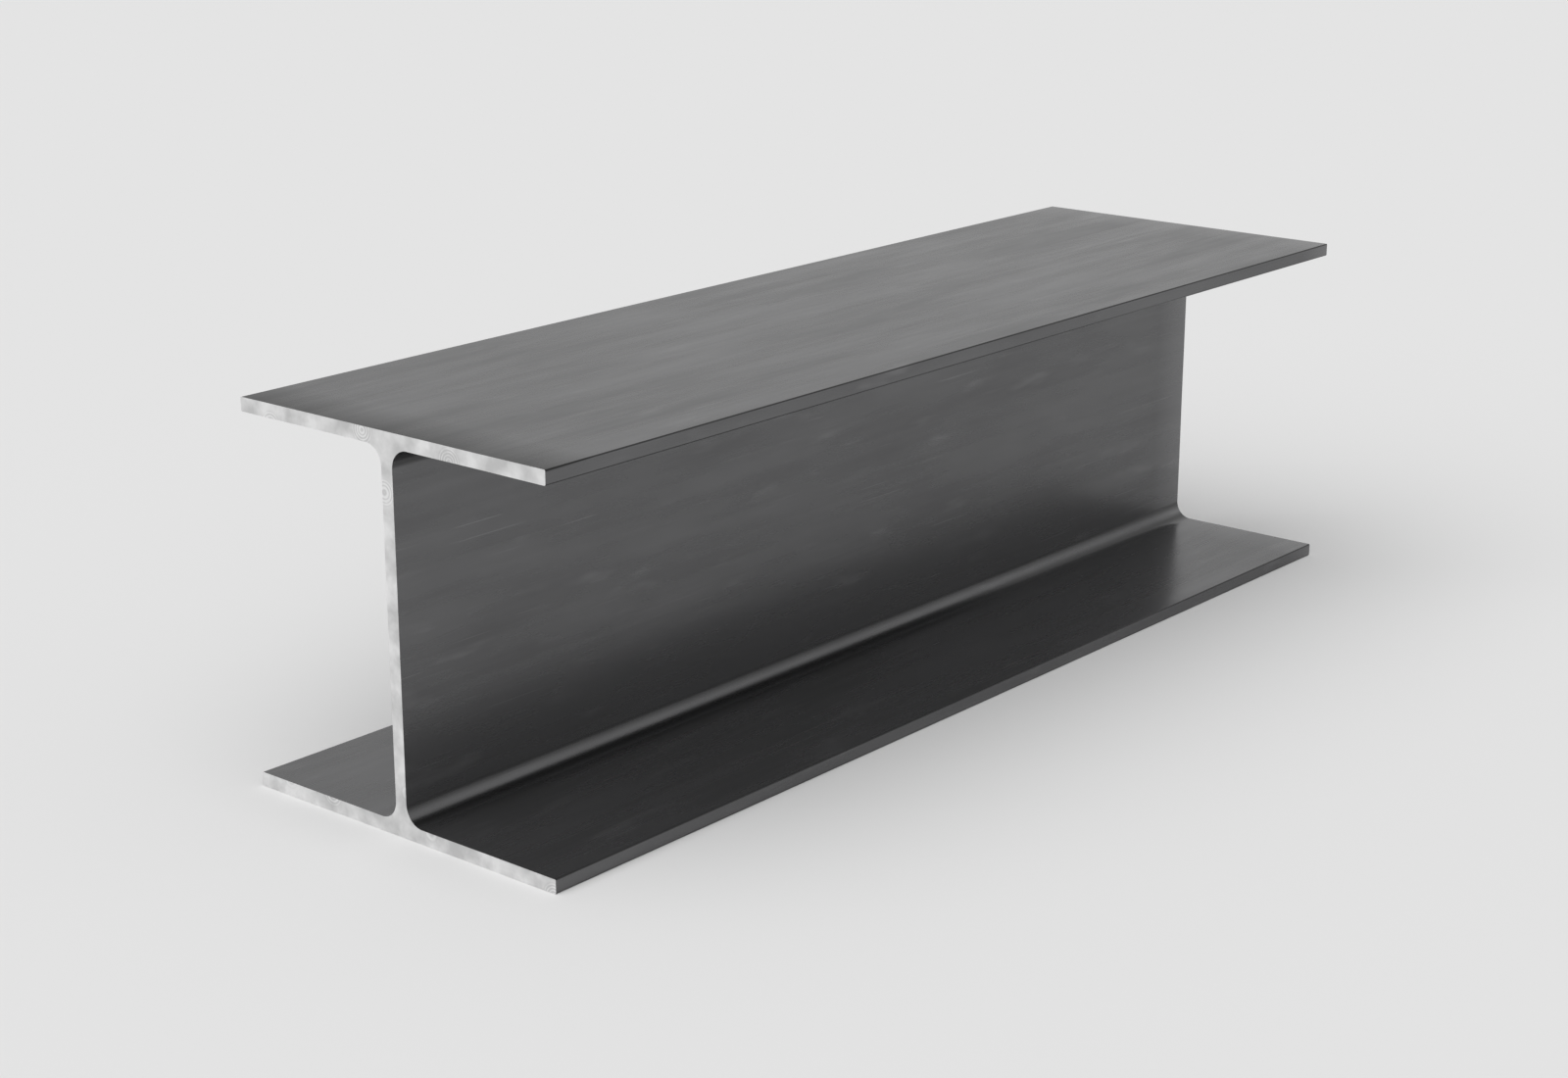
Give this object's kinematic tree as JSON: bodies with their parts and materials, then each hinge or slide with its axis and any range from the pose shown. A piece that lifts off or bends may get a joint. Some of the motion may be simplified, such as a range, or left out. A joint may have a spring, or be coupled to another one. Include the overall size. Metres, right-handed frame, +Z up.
{
  "type": "steel h-pile",
  "caption": "Short length of hot-rolled steel bearing-pile section: two wide parallel flanges joined by a web of nearly the same thickness, sawn square at both ends.",
  "frame": {"origin": "centre of the bottom flange's outer face, halfway along the pile", "axes": "+X along the pile, from one sawn end to the other; +Y across the flanges; +Z up through the depth of the section, square to the flanges"},
  "size_m": [1.016, 0.3064, 0.2993],
  "materials": {
    "hot_rolled_steel": "as-rolled steel, dark grey mill scale on the rolled faces, bare bright steel on the two sawn ends"
  },
  "bodies": {
    "root": {"h_pile": "hot_rolled_steel"}
  },
  "joints": []
}
